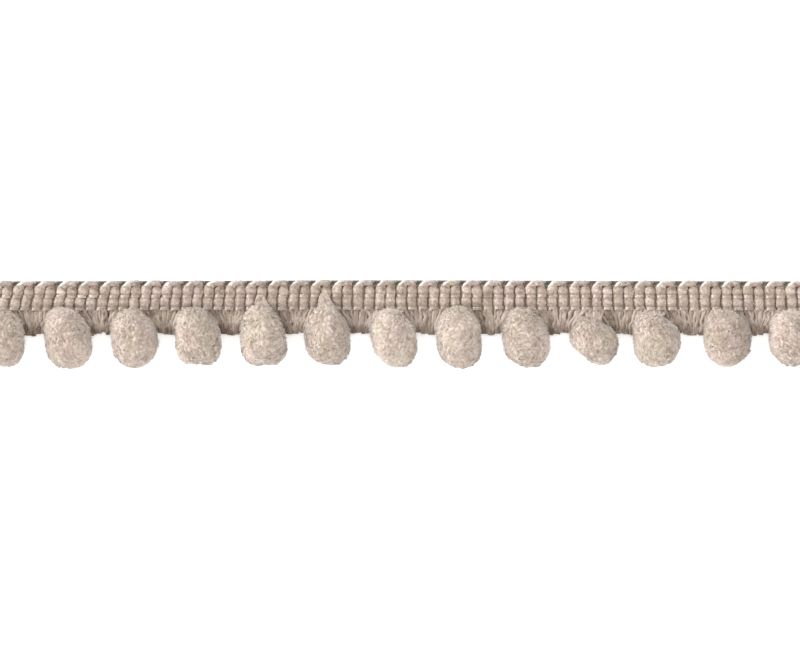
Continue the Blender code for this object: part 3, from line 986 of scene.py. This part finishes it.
def even_directions(count, rng, loose):
    """Directions spread evenly over a ball by the golden angle, and then shaken a little."""
    i = np.arange(count)
    v = 1 - 2 * (i + 0.5) / count
    across = np.sqrt(1 - v * v)
    turn = i * math.pi * (3 - math.sqrt(5))
    found = np.stack([across * np.cos(turn), v, across * np.sin(turn)], axis=1)
    return unit(found + rng.normal(0, loose / math.sqrt(count), found.shape))


def outward(directions, p):
    """Unit normals of a pompom's smooth surface, near enough for raising its yarn."""
    size = np.array([(p.left + p.right) / 2, (p.up + p.down) / 2, DEPTH / 2])
    return unit(directions / size)


def wander(directions, rng):
    """A smooth field of vectors over a ball: which way the yarn ends have been swept."""
    swept = np.zeros_like(directions)
    for _ in range(SWEEP_WAVES):
        wave = rng.normal(0, SWEEP, 3)
        phase = rng.uniform(0, FULL_TURN)
        swept += np.sin(directions @ wave + phase)[:, None] * rng.normal(0, 1, 3)
    return swept


def flow(directions, p, rng):
    """Which way the yarn lies over a pompom: out from the neck at the top, and swept about below."""
    normal = outward(directions, p)
    v = directions[:, 1:2]
    pull = (FROM_NECK + FROM_NECK_AT_TOP * np.clip(v, 0, 1)) * (v > FROM_NECK_END)
    way = wander(directions, rng) - UP_THE_TRIM * pull
    way -= normal * (way * normal).sum(axis=1, keepdims=True)
    return unit(way)


class Locks:
    """The locks of yarn ends that a pompom's surface is made of."""

    def __init__(self, p, rng):
        directions = even_directions(LOCKS, rng, LOCK_SHAKE)
        self.places = pompom_surface(*directions.T, p)
        self.flow = flow(directions, p, rng)
        self.lift = rng.normal(0, LOCK_UNEVEN, LOCKS)
        self.tone = rng.uniform(-LOCK_TONES, LOCK_TONES, LOCKS)
        self.offset = rng.uniform(-50, 50, (LOCKS, 3))

    def at(self, places):
        """For each place: its lock, and how near that lock's middle line it is, 0 at the edge."""
        nearest, inside = [], []
        keep = 1 - 1 / LOCK_STRETCH**2
        for some in np.array_split(places, 1 + len(places) // BATCH):
            apart = some[:, None] - self.places[None]
            along = (apart * self.flow[None]).sum(axis=2)
            far = np.sqrt(np.maximum((apart**2).sum(axis=2) - keep * along**2, 0))
            two = np.partition(far, 1, axis=1)
            nearest.append(far.argmin(axis=1))
            inside.append((two[:, 1] - two[:, 0]) / (two[:, 1] + two[:, 0]))
        return np.concatenate(nearest), np.concatenate(inside)

    def fibre(self, places, lock):
        """Places among the yarn's fibres: drawn together along the lock's flow."""
        apart = places - self.places[lock]
        along = (apart * self.flow[lock]).sum(axis=1, keepdims=True)
        return apart - FOLLOW * along * self.flow[lock] + self.offset[lock]


def core(p, locks):
    """The body of a pompom, with a ridge for each lock."""
    ball = bmesh.new()
    bmesh.ops.create_icosphere(ball, subdivisions=CORE_DETAIL, radius=1.0)
    directions = np.array([vert.co.normalized() for vert in ball.verts])
    faces = np.array([[vert.index for vert in face.verts] for face in ball.faces])
    ball.free()
    places = pompom_surface(*directions.T, p)
    lock, inside = locks.at(places)
    ridge = np.sqrt(inside)
    raised = LOCK_HEIGHT * (ridge - LOCK_LEVEL) + locks.lift[lock] * np.minimum(1, inside * 4)
    normal = outward(directions, p)
    points = places + normal * raised[:, None]
    # painted light on the ridges and painted shade in the hollows between locks
    tone = p.tone + locks.tone[lock] + RIDGE_PAINTED_SHADING * (ridge - RIDGE_EVEN)
    return points, [faces], tone, normal * CORE_LIE, locks.fibre(places, lock)


def spike_faces(count, joints):
    """The faces of so many three-sided spikes, each of whose points are its rings and then its tip."""
    each = 3 * joints + 1
    shift = (np.arange(count) * each)[:, None, None]
    peak = [(each - 4 + i, each - 4 + (i + 1) % 3, each - 1) for i in range(3)]
    faces = [(np.array([(2, 1, 0)] + peak)[None] + shift).reshape(-1, 3)]
    if joints > 1:
        sides = [(i, (i + 1) % 3, (i + 1) % 3 + 3, i + 3) for i in range(3 * (joints - 1))]
        faces.append((np.array(sides)[None] + shift).reshape(-1, 4))
    return faces


def fibres(p, locks, ends, rng):
    """Yarn ends that stand out of a pompom: closed three-sided spikes, bent the way they lie."""
    directions = even_directions(ends.count, rng, END_SHAKE)
    places = pompom_surface(*directions.T, p)
    lock, inside = locks.at(places)
    normal = outward(directions, p)
    raised = locks.lift[lock] + LOCK_HEIGHT * (np.sqrt(inside) - LOCK_LEVEL)
    places = places + normal * raised[:, None]
    length = rng.uniform(ends.shortest, ends.longest, (ends.count, 1))
    swept = locks.flow[lock]
    rise = unit(normal + RISE_LEAN * swept + rng.normal(0, RISE_LOOSE, normal.shape))
    laid = unit(ends.upright * normal + swept + rng.normal(0, LAID_LOOSE, normal.shape))
    root, elbow = places - rise * ROOT_DEPTH, places + rise * length * ELBOW
    tip = elbow + laid * length * (1 - ELBOW)
    aside = unit(np.cross(rise, laid))
    other = np.cross(rise, aside)
    corners = []
    for middle in (root, elbow)[: ends.joints]:
        for turn in CORNERS:
            across = math.cos(turn) * aside + math.sin(turn) * other
            corners.append(middle + across * ends.radius)
    points = np.stack(corners + [tip], axis=1).reshape(-1, 3)
    each = len(corners) + 1
    tone = p.tone + ends.tone + locks.tone[lock] + rng.normal(0, END_UNEVEN, ends.count)
    tone = np.repeat(tone, each)
    # painted shade at each yarn end's root
    tone[np.arange(len(tone)) % each < len(CORNERS)] -= ROOT_PAINTED_SHADE
    lie = np.repeat(normal, each, axis=0) * END_LIE
    faces = spike_faces(ends.count, ends.joints)
    return points, faces, tone, lie, locks.fibre(points, np.repeat(lock, each))


def make_pompom(number, p, material):
    """One pompom: its body and the yarn ends on it, in one piece."""
    rng = np.random.default_rng(100 + number)
    locks = Locks(p, rng)
    parts = [core(p, locks)] + [fibres(p, locks, ends, rng) for ends in (CUT_ENDS, FUZZ)]
    points, faces, fibre = joined(*parts)
    points[:, 2] = np.maximum(points[:, 2], 0.0)
    tone, lie = (np.concatenate([part[i] for part in parts]) for i in (2, 3))
    name = f"pompom_{number:02d}"
    return make_piece(
        f"{name}_yarn", points, faces, fibre, tone, material, [name], lie
    )


# ---------------------------------------------------------------- stage, light and camera


def make_floor():
    half = FLOOR_HALF * MM
    mesh = bpy.data.meshes.new("floor")
    corners = [(-half, -half, 0), (half, -half, 0), (half, half, 0), (-half, half, 0)]
    mesh.from_pydata(corners, [], [(0, 1, 2, 3)])
    floor = bpy.data.objects.new("floor", mesh)
    bpy.context.scene.collection.objects.link(floor)
    floor.location.z = -FLOOR_DROP * MM
    material = bpy.data.materials.new("floor_paper")
    material.use_nodes = True
    shader = material.node_tree.nodes["Principled BSDF"]
    shader.inputs["Base Color"].default_value = FLOOR_COLOUR
    shader.inputs["Roughness"].default_value = FLOOR_ROUGHNESS
    shader.inputs["Emission Color"].default_value = WHITE
    shader.inputs["Emission Strength"].default_value = FLOOR_GLOW
    mesh.materials.append(material)


def make_light():
    """The lamps and the white room, and colours shown as they are."""
    world = bpy.data.worlds.new("studio")
    bpy.context.scene.world = world
    world.use_nodes = True
    background = world.node_tree.nodes["Background"]
    background.inputs["Color"].default_value = WHITE
    background.inputs["Strength"].default_value = ROOM_STRENGTH
    for lamp in LAMPS:
        sun = bpy.data.lights.new(lamp.name, "SUN")
        sun.energy = lamp.strength
        sun.angle = math.radians(lamp.spread)
        light = bpy.data.objects.new(lamp.name, sun)
        bpy.context.scene.collection.objects.link(light)
        light.rotation_euler = (0, math.radians(90 - lamp.height), math.radians(lamp.bearing))
    view = bpy.context.scene.view_settings
    view.view_transform = "Standard"
    view.look = "None"


def make_camera():
    data = bpy.data.cameras.new("camera")
    data.lens = LENS
    data.sensor_width = SENSOR
    data.clip_start = 0.01
    data.clip_end = 20.0
    camera = bpy.data.objects.new("camera", data)
    bpy.context.scene.collection.objects.link(camera)
    camera.location = (VIEW_CENTRE[0] * MM, VIEW_CENTRE[1] * MM, FRAME_WIDTH * MM * LENS / SENSOR)
    bpy.context.scene.camera = camera


def main():
    make_camera()
    make_light()
    make_floor()
    heading_yarn = yarn_material(
        "heading_yarn",
        [(0.15, 0.098, 0.066), (0.42, 0.338, 0.287), (0.84, 0.78, 0.74)],
        fibre_width=0.45,
        streaks=0.3,
        flecks=0.85,
        fleck_size=0.38,
        patches=0.25,
    )
    edge_yarn = yarn_material(
        "edge_yarn",
        [(0.13, 0.122, 0.11), (0.40, 0.385, 0.355), (0.88, 0.86, 0.84)],
        fibre_width=0.45,
        streaks=0.4,
    )
    # The knitted back's yarn is coloured darker than the heading's, as painted shade in the gaps it
    # shows through.
    ground_yarn_painted_shade = yarn_material(
        "ground_yarn_painted_shade",
        [(0.06, 0.05, 0.041), (0.2, 0.148, 0.107), (0.34, 0.26, 0.20)],
        fibre_width=0.6,
    )
    skirt_yarn = yarn_material(
        "skirt_yarn",
        [(0.145, 0.095, 0.062), (0.37, 0.289, 0.24), (0.60, 0.50, 0.44)],
        fibre_width=0.35,
        streaks=0.7,
        flecks=0.4,
        patches=0.6,
    )
    pompom_yarn = yarn_material(
        "pompom_yarn",
        [(0.27, 0.202, 0.158), (0.48, 0.395, 0.335), (0.67, 0.585, 0.522)],
        fibre_width=0.5,
        flecks=0.6,
    )
    make_ribs(heading_yarn)
    make_edge_thread(edge_yarn)
    make_stitches(heading_yarn)
    make_ground(ground_yarn_painted_shade)
    make_skirt(skirt_yarn)
    for number, p in enumerate(POMPOMS, start=1):
        make_pompom(number, p, pompom_yarn)


main()
